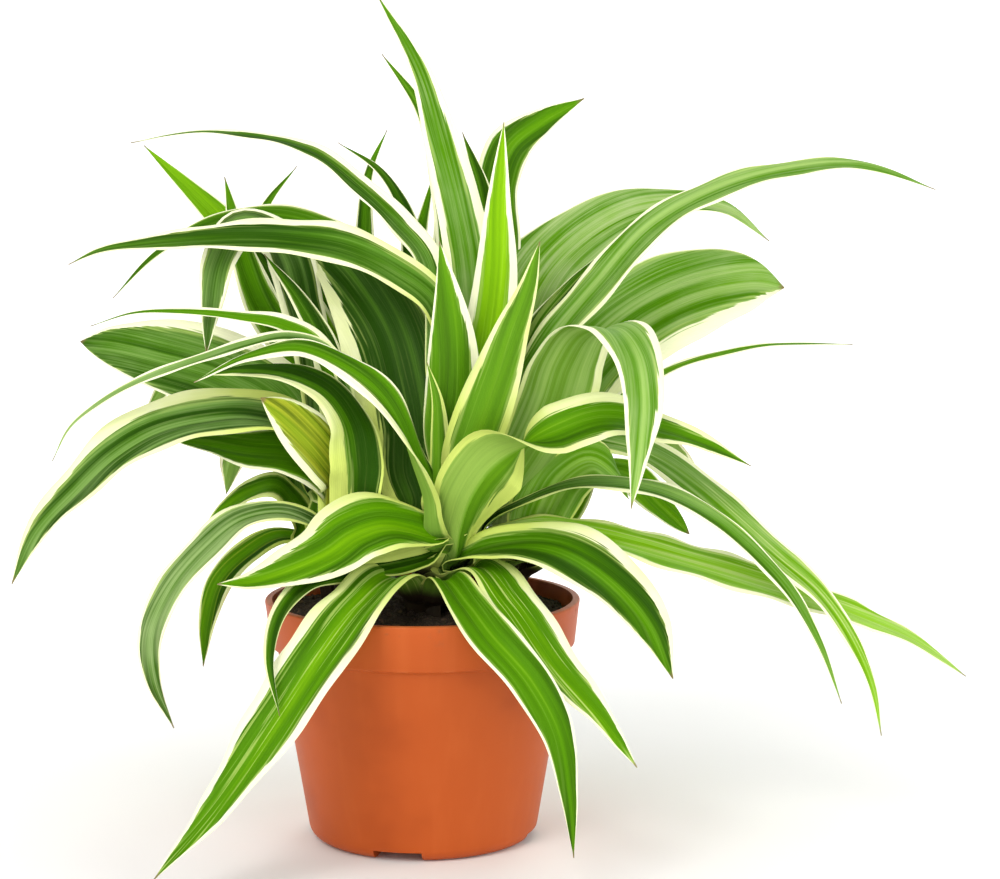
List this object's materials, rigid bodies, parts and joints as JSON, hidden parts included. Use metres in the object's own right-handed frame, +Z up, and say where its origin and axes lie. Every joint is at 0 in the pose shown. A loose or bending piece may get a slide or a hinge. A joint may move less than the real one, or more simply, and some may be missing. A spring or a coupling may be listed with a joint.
{
  "type": "potted spider plant",
  "caption": "Spider plant with arching cream-edged strap leaves on short leaning stems, growing in soil in a round tapered nursery pot.",
  "frame": {"origin": "middle of the pot's foot, on the surface that it stands on", "axes": "+Z up, -Y towards the viewer of the picture, +X to that viewer's right"},
  "size_m": [0.3716, 0.241, 0.3319],
  "materials": {
    "pot_plastic": "satin",
    "soil": "matte",
    "stem": "satin",
    "leaf": "satin"
  },
  "bodies": {
    "root": {"pot": "pot_plastic", "soil": "soil", "stem_main": "stem", "stem_left": "stem", "stem_left_back": "stem", "stem_right": "stem", "stem_right_back": "stem", "leaf_front_long_left": "leaf", "leaf_front_centre": "leaf", "leaf_front_right": "leaf", "leaf_right_broad": "leaf", "leaf_left_broad": "leaf", "leaf_left_droop_small": "leaf", "leaf_right_shelf": "leaf", "leaf_curled": "leaf", "leaf_left_arch": "leaf", "leaf_dark_broad": "leaf", "leaf_upper_left_arch": "leaf", "leaf_upper_left_long": "leaf", "leaf_upper_left_droop": "leaf", "leaf_centre_left": "leaf", "leaf_centre_right": "leaf", "leaf_centre_tall": "leaf", "leaf_young": "leaf", "leaf_tallest": "leaf", "leaf_right_arch": "leaf", "leaf_right_long": "leaf", "leaf_right_slim": "leaf", "leaf_left_cream_arch": "leaf", "leaf_left_thin": "leaf", "leaf_left_wavy": "leaf", "leaf_left_short": "leaf", "leaf_left_yellowed": "leaf", "leaf_left_lime": "leaf", "leaf_left_drooping": "leaf", "leaf_left_hanging": "leaf", "leaf_far_left_broad": "leaf", "leaf_far_left_thin": "leaf", "leaf_left_upright_short": "leaf", "leaf_left_upright": "leaf", "leaf_left_bent": "leaf", "leaf_right_back_broad": "leaf", "leaf_right_broad_blunt": "leaf", "leaf_right_thin": "leaf", "leaf_right_needle": "leaf", "leaf_right_narrow": "leaf", "leaf_right_weeping": "leaf", "leaf_right_low_broad": "leaf", "leaf_right_low_short": "leaf", "offset_back_left": "leaf", "offset_back_right": "leaf"}
  },
  "joints": []
}
